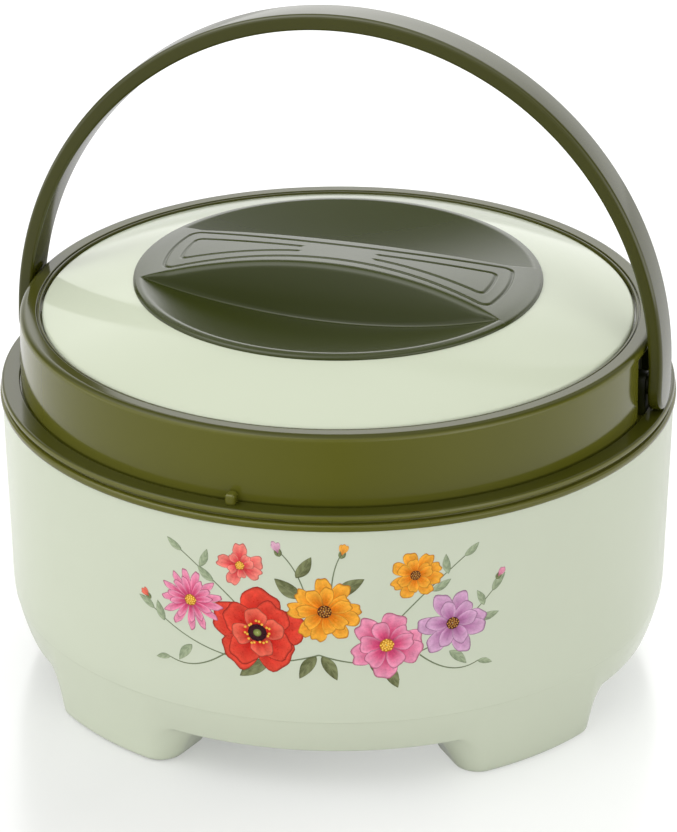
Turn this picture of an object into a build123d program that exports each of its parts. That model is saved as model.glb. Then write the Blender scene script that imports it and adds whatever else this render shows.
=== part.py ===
"""Insulated chapati casserole: double-walled plastic body with a steel bowl,
a lift-off insulated lid with a pinch grip, and a swinging bail handle.

Frame: origin on the resting surface under the centre of the body, +Z up.
+X runs along the pivot line of the bail handle, the front is towards -Y.
All lengths are millimetres.
"""
from build123d import *
from math import asin, cos, radians, sin, sqrt
import os

os.makedirs("parts", exist_ok=True)

# ---------------------------------------------------------------- dimensions
# body shell
foot_height = 16.4          # underside of the body above the table
seam_z = 30.0               # joint between the upper shell and the foot shell
collar_z = 107.0            # lower edge of the collar, top of the mint shell
wall = 2.4                  # plastic wall
shell_r_seam = 122.3        # outer radius of the upper shell at the seam
shell_r_bend = 122.8        # outer radius where the wall turns upright
shell_r_mid = 123.8         # outer radius half way up
shell_r_top = 124.7         # outer radius under the collar
body_turn = 12.5            # the body stands turned from the handle line, deg
foot_half_top = 19.4        # half angle of a foot at the body underside, deg
foot_half_bottom = 15.3     # half angle of a foot on the table, deg
foot_spread = 43.0          # feet to each side of the front and back, deg
foot_r_out = 117.3          # outer radius of a foot on the table
foot_r_out_top = 118.66     # outer radius of a foot where it enters the shell
foot_r_in = 86.0            # inner radius of a foot
foot_corner = 9.0           # radius of a foot's upright corners
foot_edge = 2.4             # rounding round the sole

# steel bowl
bowl_r = 100.0              # outer radius of the bowl wall
bowl_floor_z = 31.0         # underside of the bowl floor
bowl_corner = 16.0          # corner radius between floor and wall
sheet = 0.6                 # steel thickness

# collar
flange_z = 112.0            # top of the flat flange the lid stands on
lip_r = 125.9               # widest radius of the lower lip
bead_top = 113.3            # top of the rounded bead at the flange's edge
nub_azimuth = -1.1          # locating nub, degrees from -Y towards +X

# bail handle
pivot_z = 122.2             # height of the pivot line
arch_z = 126.6              # centre height of the near half-circle arch
arch_r_out = 124.2          # outer radius at the legs
arch_r_out_top = 124.4      # outer radius at the top
arch_r_in = 119.0           # inner radius at the legs
arch_r_in_top = 118.2       # inner radius at the top, where the strap is thicker
strap_w_end = 17.2          # strap width at the pivots
strap_w_top = 15.6          # strap width at the top of the arch
lean = 4.5                  # the handle stands leaning back, deg
side_play = 0.5             # the handle sits this far towards its +X ear, mm
stud_r = 3.5                # pivot stud on the collar ear
stud_clear = 0.05           # radial running clearance
ear_face = 117.8            # outer face of the ear
stud_end = 121.8            # free end of the stud

# lid
skirt_r_low = 117.7         # skirt radius at its foot
skirt_r_top = 117.45        # skirt radius at the rim
rim_z = 140.0               # flat top of the rim
panel_r = 109.3             # outer radius of the pale dome panel
panel_edge_z = 139.4        # dome height at the panel's edge
dome_R = 305.0              # spherical radius of the dome
insert_r = 75.5             # outer radius of the grip insert
well_r = 71.0               # radius of the finger wells' outer edge
dish_depth_z = 139.0        # lowest point of the dished floor of the wells
bar_half = 12.4              # half width of the grip bar at the middle
bar_grow = 0.0027          # widening of the bar, per mm of x squared
lid_gap = 0.1               # gap under the skirt, over the flange

apex_z = panel_edge_z + dome_R - sqrt(dome_R ** 2 - panel_r ** 2)


# ------------------------------------------------------------------- helpers
def P(r, z):
    return Vector(r, 0, z)


def ring(points):
    """Solid of revolution about Z of a closed outline.

    Each entry is (r, z) for a straight run to that point, or
    ((rm, zm), (r, z)) for an arc through the first to the second."""
    start = points[0]
    cur = start
    edges = []
    for q in points[1:]:
        if isinstance(q[0], tuple):
            edges.append(Edge.make_three_point_arc(P(*cur), P(*q[0]), P(*q[1])))
            cur = q[1]
        else:
            edges.append(Edge.make_line(P(*cur), P(*q)))
            cur = q
    if (P(*cur) - P(*start)).length > 1e-6:
        edges.append(Edge.make_line(P(*cur), P(*start)))
    return revolve(Face(Wire(edges)), axis=Axis.Z, revolution_arc=360)


def block(x0, x1, y0, y1, z0, z1):
    return Pos((x0 + x1) / 2, (y0 + y1) / 2, (z0 + z1) / 2) * Box(x1 - x0, y1 - y0, z1 - z0)


def dome_z(r, drop=0.0):
    return apex_z - drop - (dome_R - sqrt(dome_R ** 2 - r ** 2))


def save(shape, name):
    shape.label = name
    export_step(shape, f"parts/{name}.step")


def one(shape):
    """The largest solid of a result, as a plain solid."""
    s = shape.solids()
    s.sort(key=lambda q: q.volume)
    return s[-1]


# --------------------------------------------------------------- upper shell
outer_body = ring([
    (shell_r_seam - 0.35, seam_z),
    ((shell_r_seam - 0.1, seam_z + 0.1), (shell_r_seam + 0.02, seam_z + 0.35)),
    ((shell_r_seam + 0.36, seam_z + 2.5), (shell_r_bend, seam_z + 5.6)),
    ((shell_r_mid, 70.0), (shell_r_top, collar_z)),
    (121.7, collar_z),
    (121.7, 109.4),
    (119.9, 109.4),
    (119.9, collar_z - 3.0),
    (shell_r_top - wall, collar_z - 8.0),
    ((shell_r_mid - wall, 70.0), (shell_r_bend - wall, seam_z + 6.2)),
    (120.25, seam_z + 6.2),
    (120.25, seam_z),
])
save(outer_body, "outer_body")

# ------------------------------------------------------ foot shell with feet
floor_z = foot_height
shell = ring([
    (9.2, floor_z),
    (117.3, floor_z),
    ((118.22, floor_z + 0.4), (118.62, floor_z + 1.3)),
    (119.85, floor_z + 4.9),
    ((121.1, 25.6), (shell_r_seam - 0.25, seam_z)),
    (120.15, seam_z),
    (120.15, seam_z + 6.0),
    (117.9, seam_z + 6.0),
    (117.9, floor_z + 8.0),
    ((116.9, floor_z + 4.0), (113.9, floor_z + wall)),
    (9.2, floor_z + wall),
])


def foot_outline(z, half, r_in, r_out, corner, inset=0.0):
    """Plan outline of a foot at one height: radial flanks, rounded corners."""
    a = radians(half)
    ri, ro = r_in + inset, r_out - inset

    def on(r, sign):
        # the flank is offset inwards by the wall, square to itself
        t = a - asin(inset / r) if inset else a
        return Vector(sign * r * sin(t), -r * cos(t), 0)
    wire = Wire([
        Edge.make_line(on(ri, 1), on(ro, 1)),
        Edge.make_three_point_arc(on(ro, 1), Vector(0, -ro, 0), on(ro, -1)),
        Edge.make_line(on(ro, -1), on(ri, -1)),
        Edge.make_three_point_arc(on(ri, -1), Vector(0, -ri, 0), on(ri, 1)),
    ])
    f = Face(wire)
    f = f.fillet_2d(corner - inset, f.vertices())
    return (Pos(0, 0, z) * f).outer_wire()


def foot_loft(z0, z1, inset):
    """Foot body between two heights; its flanks and walls flare upwards."""
    wires = []
    for z in (z0, z1):
        k = z / (floor_z + 2.0)
        wires.append(foot_outline(
            z,
            foot_half_bottom + (foot_half_top - foot_half_bottom) * k,
            foot_r_in - 1.2 * k,
            foot_r_out + (foot_r_out_top - foot_r_out) * k,
            foot_corner,
            inset,
        ))
    return Solid.make_loft(wires, ruled=True)


foot = foot_loft(0.0, floor_z + 2.0, 0.0)
foot = fillet([e for e in foot.edges() if abs(e.center().Z) < 0.01], foot_edge)
void = foot_loft(wall, floor_z + wall + 0.1, wall)
feet_at = [body_turn + a for a in (-foot_spread, foot_spread, 180 - foot_spread, 180 + foot_spread)]
feet = [Rot(0, 0, a) * foot for a in feet_at]
voids = [Rot(0, 0, a) * void for a in feet_at]
base_shell = shell
for f in feet:
    base_shell = base_shell + f
for v in voids:
    base_shell = base_shell - v
base_shell = one(base_shell)
save(base_shell, "base_shell")

# ----------------------------------------------------------- foam-fill plug
fill_plug = ring([
    (0.0, floor_z - 1.2),
    (12.0, floor_z - 1.2),
    (12.0, floor_z - 0.02),
    (9.1, floor_z - 0.02),
    (9.1, floor_z + wall + 0.2),
    (9.7, floor_z + wall + 0.8),
    (8.6, floor_z + wall + 2.4),
    (7.0, floor_z + wall + 2.4),
    (7.0, floor_z + 0.8),
    (0.0, floor_z + 0.8),
])
save(fill_plug, "fill_plug")

# --------------------------------------------------------------- steel bowl
rb, rc = bowl_r, bowl_corner
k = rc * (1 - 0.70710678)
ri = rc - sheet
ki = sheet + ri * (1 - 0.70710678)
rim_low = flange_z + 0.02
inner_bowl = ring([
    (0.0, bowl_floor_z),
    (rb - rc, bowl_floor_z),
    ((rb - k, bowl_floor_z + k), (rb, bowl_floor_z + rc)),
    (rb, rim_low - 1.2),
    ((rb + 0.35, rim_low - 0.35), (rb + 1.2, rim_low)),
    (105.6, rim_low),
    ((106.5, rim_low + 0.9), (105.6, rim_low + 1.8)),
    ((104.9, rim_low + 1.6), (104.6, rim_low + sheet)),
    (rb + 1.0, rim_low + sheet),
    ((rb - 0.1, rim_low + 0.2), (rb - sheet, rim_low - 1.2)),
    (rb - sheet, bowl_floor_z + rc),
    ((rb - ki, bowl_floor_z + ki), (rb - rc, bowl_floor_z + sheet)),
    (0.0, bowl_floor_z + sheet),
])
save(inner_bowl, "inner_bowl")

# ---------------------------------------------------------------- body foam
body_foam = ring([
    (0.0, floor_z + wall + 2.6),
    (112.5, floor_z + wall + 2.6),
    ((116.0, floor_z + 6.4), (117.7, floor_z + 12.0)),
    (117.7, seam_z + 6.3),
    (120.0, seam_z + 7.0),
    (121.0, 70.0),
    (121.7, collar_z - 8.4),
    (119.7, collar_z - 3.2),
    (119.7, 109.2),
    (rb + 1.2, 109.2),
    (rb + 0.1, 108.0),
    (rb + 0.1, bowl_floor_z + rc),
    ((rb - k + 0.07, bowl_floor_z + k - 0.07), (rb - rc, bowl_floor_z - 0.1)),
    (0.0, bowl_floor_z - 0.1),
])
save(body_foam, "body_foam")

# -------------------------------------------------------------- collar ring
collar = ring([
    (101.3, flange_z - 2.6),
    (121.9, flange_z - 2.6),
    (121.9, collar_z + 0.05),
    (125.0, collar_z + 0.05),
    ((125.75, collar_z + 0.75), (lip_r, collar_z + 1.5)),
    ((125.6, collar_z + 2.3), (124.95, collar_z + 2.75)),
    ((124.2, collar_z + 3.05), (124.15, collar_z + 3.6)),
    ((124.35, collar_z + 4.0), (124.85, collar_z + 4.3)),
    ((125.15, collar_z + 5.1), (124.75, collar_z + 5.9)),
    ((123.9, bead_top), (123.0, collar_z + 5.95)),
    ((122.5, flange_z + 0.35), (121.6, flange_z)),
    (101.3, flange_z),
])


def ear(side):
    """Ear that rises from the flange and carries one pivot stud."""
    half, top = 5.2, pivot_z + 5.4
    post = block(113.6, ear_face, -half, half, flange_z - 0.5, pivot_z)
    head = Pos((113.6 + ear_face) / 2, 0, pivot_z) * Rot(0, 90, 0) * Cylinder(half, ear_face - 113.6)
    stud = Pos((ear_face - 0.5 + stud_end) / 2, 0, pivot_z) * Rot(0, 90, 0) * Cylinder(stud_r, stud_end - ear_face + 0.5)
    stud = chamfer([e for e in stud.edges() if abs(e.center().X - stud_end) < 0.01], 0.6)
    e = post + head + stud
    return e if side > 0 else Rot(0, 0, 180) * e


nub_r0, nub_r1, nub_w, nub_top = 118.05, 120.4, 3.4, 117.0
nub = block(-nub_w / 2, nub_w / 2, -nub_r1, -nub_r0, flange_z - 0.5, nub_top)
nub = fillet([e for e in nub.edges() if abs(e.center().Z - nub_top) < 0.01 and abs(e.center().X) > 1.0], 1.5)
nub = Rot(0, 0, nub_azimuth) * nub
collar = one(collar + ear(1) + ear(-1) + nub)
save(collar, "collar_ring")

# -------------------------------------------------------------- bail handle
def arch_face(r_out, r_in, z_end):
    """Half-circle band with straight legs, in the XZ plane."""
    e = [
        Edge.make_line(P(r_out, z_end), P(r_out, arch_z)),
        Edge.make_three_point_arc(P(r_out, arch_z), P(0, arch_z + arch_r_out_top), P(-r_out, arch_z)),
        Edge.make_line(P(-r_out, arch_z), P(-r_out, z_end)),
        Edge.make_line(P(-r_out, z_end), P(-r_in, z_end)),
        Edge.make_line(P(-r_in, z_end), P(-r_in, arch_z)),
        Edge.make_three_point_arc(P(-r_in, arch_z), P(0, arch_z + arch_r_in_top), P(r_in, arch_z)),
        Edge.make_line(P(r_in, arch_z), P(r_in, z_end)),
        Edge.make_line(P(r_in, z_end), P(r_out, z_end)),
    ]
    return Face(Wire(e))


end_r = strap_w_end / 2
band = extrude(arch_face(arch_r_out, arch_r_in, pivot_z - end_r - 2), amount=20, dir=(0, 1, 0), both=True)
top_z = arch_z + arch_r_out_top
hw = strap_w_top / 2
side = Face(Wire([
    Edge.make_line(Vector(0, -end_r, pivot_z), Vector(0, -hw, top_z + 1)),
    Edge.make_line(Vector(0, -hw, top_z + 1), Vector(0, hw, top_z + 1)),
    Edge.make_line(Vector(0, hw, top_z + 1), Vector(0, end_r, pivot_z)),
    Edge.make_three_point_arc(Vector(0, end_r, pivot_z), Vector(0, 0, pivot_z - end_r), Vector(0, -end_r, pivot_z)),
]))
handle = one(band & extrude(side, amount=140, dir=(1, 0, 0), both=True))

def on_arch(e, x_leg, z_top):
    """True for an edge of the strap's outer or inner face."""
    c = e @ 0.5
    return abs(abs(c.X) - x_leg) < 0.6 or abs(c.Z - z_top) < 0.6


outer_edges = [e for e in handle.edges() if e.length > 20 and on_arch(e, arch_r_out, arch_z + arch_r_out_top)]
handle = fillet(outer_edges, 1.2)
inner_edges = [e for e in handle.edges() if e.length > 20 and on_arch(e, arch_r_in, arch_z + arch_r_in_top)]
handle = fillet(inner_edges, 0.8)
handle = Pos(side_play, 0, 0) * handle
for s in (1, -1):
    hole = Pos(s * (arch_r_in - 2 + stud_end + 0.5) / 2, 0, pivot_z) * Rot(0, 90, 0) * Cylinder(
        stud_r + stud_clear, stud_end + 0.5 - arch_r_in + 2)
    handle = handle - hole
handle = one(handle)
handle = Pos(0, 0, pivot_z) * Rot(-lean, 0, 0) * Pos(0, 0, -pivot_z) * handle
save(handle, "bail_handle")

# ----------------------------------------------------------- lid skirt ring
skirt_z = flange_z + lid_gap
skirt = ring([
    (115.4, skirt_z),
    (skirt_r_low, skirt_z),
    (skirt_r_top, rim_z - 1.5),
    ((skirt_r_top - 0.44, rim_z - 0.44), (skirt_r_top - 1.5, rim_z)),
    (111.3, rim_z),
    (111.3, rim_z - 0.7),
    (110.9, rim_z - 0.7),
    (110.9, rim_z - 0.35),
    (110.3, rim_z - 0.35),
    (110.0, rim_z - 0.65),
    (110.0, rim_z - 3.4),
    (105.5, rim_z - 3.4),
    (105.5, rim_z - 5.4),
    (112.8, rim_z - 5.4),
    (115.25, rim_z - 8.0),
    (115.4, 116.8),
    (104.0, 116.8),
    (104.0, 114.8),
    (115.4, 114.8),
])


def pocket_box(side):
    b = block(111.4, 116.2, -8.4, 8.4, 114.0, 131.0)
    return b if side > 0 else Rot(0, 0, 180) * b


def pocket_cut(side):
    b = block(113.2, 119.5, -6.5, 6.5, 110.0, 129.0)
    b = fillet([e for e in b.edges() if abs(e.center().Z - 129.0) < 0.01 and abs(abs(e.center().Y) - 6.5) < 0.01], 4.0)
    return b if side > 0 else Rot(0, 0, 180) * b


skirt = skirt + pocket_box(1) + pocket_box(-1)
skirt = one(skirt - pocket_cut(1) - pocket_cut(-1))
save(skirt, "lid_skirt_ring")

# ---------------------------------------------------------- lid dome panel
t = 2.2


def dome_mid(r0, r1, drop):
    rm = (r0 + r1) / 2
    return (rm, dome_z(rm, drop))


hole_r = 72.4
panel = ring([
    (hole_r, dome_z(hole_r, t)),
    (dome_mid(hole_r, panel_r - t, t), (panel_r - t, dome_z(panel_r - t, t))),
    (panel_r - t, rim_z - 3.3),
    (panel_r, rim_z - 3.3),
    (panel_r, dome_z(panel_r) - 1.0),
    ((panel_r - 0.32, dome_z(panel_r) - 0.25), (panel_r - 1.1, dome_z(panel_r - 1.1))),
    (dome_mid(hole_r, panel_r - 1.1, 0), (hole_r, dome_z(hole_r))),
])
save(panel, "lid_top_panel")

# ------------------------------------------------------- grip insert (dish)
lip = 1.4                   # the insert's lip stands this much over the panel
dish_R = well_r ** 2 / (2 * (dome_z(well_r) - dish_depth_z)) + (dome_z(well_r) - dish_depth_z) / 2


def dish_z(r, drop=0.0):
    return dish_depth_z - drop + dish_R - sqrt(dish_R ** 2 - r ** 2)


rl = well_r + 1.2
dish = ring([
    (0.0, dish_depth_z - t),
    ((38.0, dish_z(38.0, t)), (70.6, dish_z(70.6, t))),
    (70.6, dome_z(70.6, 4.6)),
    (72.2, dome_z(72.2, 4.6)),
    (72.2, dome_z(72.2, -0.02)),
    (insert_r, dome_z(insert_r, -0.02)),
    (insert_r, dome_z(insert_r, -0.15)),
    ((insert_r - 0.36, dome_z(insert_r, -lip + 0.38)), (insert_r - 1.25, dome_z(insert_r - 1.25, -lip))),
    (dome_mid(rl, insert_r - 1.25, -lip), (rl, dome_z(rl, -lip))),
    ((rl - 0.9, dome_z(rl, -lip + 0.3)), (rl - 1.7, dish_z(rl - 1.7) + 0.25)),
    (69.2, dish_z(69.2)),
    ((36.0, dish_z(36.0)), (0.0, dish_depth_z)),
])


def bow_tie(inset, z_low, z_high, draft):
    """Bow-tie prism of the grip bar, its long sides drafted."""
    wires = []
    for z, grow in ((z_low, draft), (z_high, 0.0)):
        def y_at(x):
            return bar_half + bar_grow * x * x - inset + grow
        xe = 76.0
        front = Edge.make_three_point_arc(Vector(-xe, -y_at(xe), z), Vector(0, -y_at(0), z), Vector(xe, -y_at(xe), z))
        right = Edge.make_line(Vector(xe, -y_at(xe), z), Vector(xe, y_at(xe), z))
        back = Edge.make_three_point_arc(Vector(xe, y_at(xe), z), Vector(0, y_at(0), z), Vector(-xe, y_at(xe), z))
        left = Edge.make_line(Vector(-xe, y_at(xe), z), Vector(-xe, -y_at(xe), z))
        wires.append(Wire([front, right, back, left]))
    return Solid.make_loft(wires, ruled=True)


lens_r = 71.6
lens = ring([
    (0.0, dish_depth_z - 1.0),
    ((36.0, dish_z(36.0, 1.0)), (lens_r, dish_z(lens_r, 1.0))),
    (lens_r, dome_z(lens_r, -0.7)),
    ((36.0, dome_z(36.0, -0.7)), (0.0, dome_z(0.0, -0.7))),
])
hollow_r = 66.0
hollow = ring([
    (0.0, dish_depth_z - t - 1.0),
    ((33.0, dish_z(33.0, t + 1.0)), (hollow_r, dish_z(hollow_r, t + 1.0))),
    (hollow_r, dome_z(hollow_r, 1.8)),
    ((33.0, dome_z(33.0, 1.8)), (0.0, dome_z(0.0, 1.8))),
])
bar = lens & bow_tie(0.0, 130.0, 161.0, 7.5)
core = hollow & bow_tie(2.0, 130.0, 161.0, 7.5)
grip = one(dish + bar - core)
save(grip, "lid_grip_insert")

# ----------------------------------------------------------------- lid foam
lid_foam = ring([
    (0.0, 104.8),
    (94.6, 104.8),
    (96.3, 105.9),
    (97.0, 107.2),
    (97.0, 113.6),
    (98.4, 115.0),
    (98.4, 117.0),
    (110.9, 117.0),
    (110.9, 133.0),
    (108.5, 134.3),
    (104.8, 134.3),
    (104.8, dome_z(104.8, t + 0.15)),
    (dome_mid(73.2, 104.8, t + 0.15), (73.2, dome_z(73.2, t + 0.15))),
    (73.2, dome_z(72.2, 4.9)),
    (70.3, dome_z(70.6, 4.9)),
    (69.4, dish_z(69.4, t + 0.2)),
    ((37.0, dish_z(37.0, t + 0.2)), (0.0, dish_depth_z - t - 0.2)),
])
save(lid_foam, "lid_foam")

# ---------------------------------------------------------- lid inner cover
rp = 98.0                   # radius of the plug that enters the bowl
cover = ring([
    (0.0, 104.0),
    (rp - 2.5, 104.0),
    ((rp - 0.73, 104.73), (rp, 106.5)),
    (rp, 112.9),
    ((rp + 0.3, 113.8), (rp + 1.2, 114.1)),
    (111.0, 114.1),
    (111.0, 114.7),
    (rp + 1.0, 114.7),
    ((rp - 0.2, 114.2), (rp - sheet, 113.1)),
    (rp - sheet, 106.6),
    ((rp - 1.15, 105.15), (rp - 2.6, 104.0 + sheet)),
    (0.0, 104.0 + sheet),
])
save(cover, "lid_inner_cover")

print("apex z", round(apex_z, 2), "dish R", round(dish_R, 1))
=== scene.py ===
"""Looks of the insulated chapati casserole: materials, fine surface detail, the floral print, studio and camera."""

import math
import random

import bmesh
import bpy
import numpy as np
from mathutils import Matrix, Vector


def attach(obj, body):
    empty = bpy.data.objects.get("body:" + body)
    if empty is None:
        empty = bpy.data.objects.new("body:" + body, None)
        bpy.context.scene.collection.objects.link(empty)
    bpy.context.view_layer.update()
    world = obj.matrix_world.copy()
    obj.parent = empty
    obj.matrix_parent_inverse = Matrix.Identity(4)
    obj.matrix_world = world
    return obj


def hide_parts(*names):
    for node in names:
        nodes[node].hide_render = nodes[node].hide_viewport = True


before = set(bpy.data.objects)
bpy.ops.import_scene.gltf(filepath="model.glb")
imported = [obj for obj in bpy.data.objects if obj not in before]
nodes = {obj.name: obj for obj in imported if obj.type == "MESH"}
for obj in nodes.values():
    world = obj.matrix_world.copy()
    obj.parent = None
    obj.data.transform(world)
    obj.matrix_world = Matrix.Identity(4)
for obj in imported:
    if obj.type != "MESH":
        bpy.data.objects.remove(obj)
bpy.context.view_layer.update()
MM = 0.001


# ------------------------------------------------------------------ node helpers
def lin(r, g, b):
    """sRGB 0-255 to linear RGBA."""
    out = []
    for c in (r, g, b):
        c = c / 255.0
        out.append(c / 12.92 if c <= 0.04045 else ((c + 0.055) / 1.055) ** 2.4)
    return (*out, 1.0)


class Graph:
    """Small helper to write shader node graphs."""

    def __init__(self, tree):
        self.t = tree
        self.t.nodes.clear()

    def add(self, kind, **props):
        n = self.t.nodes.new(kind)
        for k, v in props.items():
            setattr(n, k, v)
        return n

    def link(self, a, b):
        self.t.links.new(a, b)

    def math(self, op, a, b=None, c=None, clamp=False):
        n = self.add("ShaderNodeMath", operation=op, use_clamp=clamp)
        for i, v in enumerate((a, b, c)):
            if v is None:
                continue
            if isinstance(v, (int, float)):
                n.inputs[i].default_value = v
            else:
                self.link(v, n.inputs[i])
        return n.outputs[0]

    def noise(self, vec, scale, detail=3.0, rough=0.5, distortion=0.0):
        n = self.add("ShaderNodeTexNoise")
        n.inputs["Scale"].default_value = scale
        n.inputs["Detail"].default_value = detail
        n.inputs["Roughness"].default_value = rough
        n.inputs["Distortion"].default_value = distortion
        if vec is not None:
            self.link(vec, n.inputs["Vector"])
        return n.outputs["Fac"]

    def maprange(self, v, a, b, c, d, kind="LINEAR"):
        n = self.add("ShaderNodeMapRange", interpolation_type=kind)
        self.link(v, n.inputs["Value"])
        for i, x in enumerate((a, b, c, d)):
            n.inputs[1 + i].default_value = x
        return n.outputs[0]

    def mix(self, fac, a, b, blend="MIX"):
        n = self.add("ShaderNodeMix", data_type="RGBA", blend_type=blend)
        for sock, v in ((n.inputs[0], fac), (n.inputs[6], a), (n.inputs[7], b)):
            if isinstance(v, (int, float)):
                sock.default_value = v
            elif isinstance(v, tuple):
                sock.default_value = v
            else:
                self.link(v, sock)
        return n.outputs[2]

    def bump(self, height, strength, distance, normal=None):
        n = self.add("ShaderNodeBump")
        n.inputs["Strength"].default_value = strength
        n.inputs["Distance"].default_value = distance
        self.link(height, n.inputs["Height"])
        if normal is not None:
            self.link(normal, n.inputs["Normal"])
        return n.outputs["Normal"]


def new_material(name):
    m = bpy.data.materials.new(name)
    m.use_nodes = True
    g = Graph(m.node_tree)
    out = g.add("ShaderNodeOutputMaterial")
    bsdf = g.add("ShaderNodeBsdfPrincipled")
    g.link(bsdf.outputs[0], out.inputs["Surface"])
    return m, g, bsdf


def plastic(name, colour, rough, specular=0.5, peel=0.25, tint=0.03, coat=0.0, coat_rough=0.06, grain=0.0, shade_bands=(), deep=None):
    """Moulded plastic: slight cloudiness of colour, uneven gloss, faint orange peel; bands between two heights get
    painted shade, a darker colour and a lower specular level.
    """
    m, g, b = new_material(name)
    co = g.add("ShaderNodeTexCoord").outputs["Object"]
    cloud = g.noise(co, 14.0, 3.0, 0.5)
    dark = tuple(c * (1 - tint) for c in colour[:3]) + (1.0,)
    light = tuple(min(1.0, c * (1 + tint)) for c in colour[:3]) + (1.0,)
    tone = g.mix(g.maprange(cloud, 0.35, 0.65, 0.0, 1.0), dark, light)
    shine = None
    if shade_bands:
        pos = g.add("ShaderNodeSeparateXYZ")
        g.link(co, pos.inputs[0])
        # painted shade: inside each band the tone mixes towards the shade colour and the specular level drops
        for z0, z1, z2, z3 in shade_bands:
            in_shade_band = g.math("MULTIPLY", g.maprange(pos.outputs[2], z0 * MM, z1 * MM, 0.0, 1.0, "SMOOTHSTEP"), g.maprange(pos.outputs[2], z2 * MM, z3 * MM, 1.0, 0.0, "SMOOTHSTEP"))
            tone = g.mix(in_shade_band, tone, deep)
            shine = g.math("SUBTRACT", specular if shine is None else shine, g.math("MULTIPLY", in_shade_band, specular * 0.55))
    g.link(tone, b.inputs["Base Color"])
    smear = g.noise(co, 45.0, 4.0, 0.6, 0.3)
    g.link(g.maprange(smear, 0.3, 0.7, rough - 0.006, rough + 0.006), b.inputs["Roughness"])
    b.inputs["Specular IOR Level"].default_value = specular
    if shine is not None:
        g.link(shine, b.inputs["Specular IOR Level"])
    b.inputs["Coat Weight"].default_value = coat
    b.inputs["Coat Roughness"].default_value = coat_rough
    h = g.noise(co, 320.0, 2.0, 0.45)
    n = g.bump(h, peel, 0.00006)
    if grain > 0:
        n = g.bump(g.noise(co, 2600.0, 1.0, 0.5), grain, 0.00003, n)
    g.link(n, b.inputs["Normal"])
    return m


def spun_steel(name):
    """Stainless sheet with fine turning marks that run round the axis."""
    m, g, b = new_material(name)
    co = g.add("ShaderNodeTexCoord").outputs["Object"]
    sep = g.add("ShaderNodeSeparateXYZ")
    g.link(co, sep.inputs[0])
    x, y, z = sep.outputs
    r = g.math("SQRT", g.math("ADD", g.math("MULTIPLY", x, x), g.math("MULTIPLY", y, y)))
    comb = g.add("ShaderNodeCombineXYZ")
    g.link(g.math("MULTIPLY", r, 1.0), comb.inputs[0])
    g.link(g.math("MULTIPLY", z, 1.0), comb.inputs[1])
    marks = g.noise(comb.outputs[0], 2200.0, 3.0, 0.6)
    coarse = g.noise(comb.outputs[0], 300.0, 2.0, 0.5)
    blot = g.noise(co, 22.0, 3.0, 0.6)
    g.link(g.mix(g.maprange(coarse, 0.3, 0.7, 0.0, 1.0), (0.50, 0.50, 0.49, 1), (0.62, 0.62, 0.61, 1)), b.inputs["Base Color"])
    b.inputs["Metallic"].default_value = 1.0
    g.link(g.math("ADD", g.maprange(marks, 0.2, 0.8, 0.20, 0.34), g.maprange(blot, 0.3, 0.7, -0.03, 0.04)), b.inputs["Roughness"])
    g.link(g.bump(marks, 0.25, 0.00003), b.inputs["Normal"])
    return m


def rigid_foam(name):
    m, g, b = new_material(name)
    co = g.add("ShaderNodeTexCoord").outputs["Object"]
    v = g.add("ShaderNodeTexVoronoi")
    v.inputs["Scale"].default_value = 900.0
    g.link(co, v.inputs["Vector"])
    cells = v.outputs["Distance"]
    g.link(g.mix(g.noise(co, 30.0, 4.0), (0.72, 0.62, 0.40, 1), (0.80, 0.71, 0.50, 1)), b.inputs["Base Color"])
    b.inputs["Roughness"].default_value = 0.9
    g.link(g.bump(cells, 0.6, 0.0004), b.inputs["Normal"])
    return m


MINT = (0.590, 0.635, 0.505, 1.0)
OLIVE = (0.104, 0.104, 0.010, 1.0)
# darker copy of the lid's olive plastic for the grip insert: the lower tone is painted shade for the insert's wells
OLIVE_SHADED = (0.032, 0.041, 0.0010, 1.0)
mat_mint = plastic("mint_moulded", MINT, 0.26, 0.22, 0.22, 0.010)
mat_panel = plastic("mint_gloss", (0.585, 0.63, 0.49, 1.0), 0.08, 0.18, 0.05, 0.008)
# painted shade on the up-facing collar flange (z 112.6 to 114) and lid rim top (z 138.6 to 142), darker and less glossy
# to stand in for their dim light
mat_olive = plastic("olive_gloss", OLIVE, 0.12, 0.46, 0.10, 0.03, shade_bands=((112.6, 113.1, 113.3, 114.0), (138.6, 139.5, 141.0, 142.0)), deep=(0.054, 0.056, 0.006, 1.0))
mat_insert = plastic("olive_satin", OLIVE_SHADED, 0.25, 0.54, 0.2, 0.03)
# near-black olive: painted shade for the deep shadow in the skirt pockets and on the ears inside them
mat_pocket_shade = plastic("olive_pocket_painted_shade", (0.016, 0.018, 0.0015, 1.0), 0.34, 0.20, 0.2, 0.05)
mat_strap = plastic("olive_handle", (0.046, 0.048, 0.0025, 1.0), 0.12, 0.62, 0.10, 0.03)
mat_steel = spun_steel("spun_steel")
mat_foam = rigid_foam("rigid_foam")

LOOK = {
    "outer_body": mat_mint,
    "base_shell": mat_mint,
    "fill_plug": mat_mint,
    "body_foam": mat_foam,
    "inner_bowl": mat_steel,
    "collar_ring": mat_olive,
    "bail_handle": mat_strap,
    "lid_skirt_ring": mat_olive,
    "lid_top_panel": mat_panel,
    "lid_grip_insert": mat_insert,
    "lid_foam": mat_foam,
    "lid_inner_cover": mat_steel,
}
for n, o in nodes.items():
    o.data.materials.clear()
    o.data.materials.append(LOOK[n])


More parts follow.
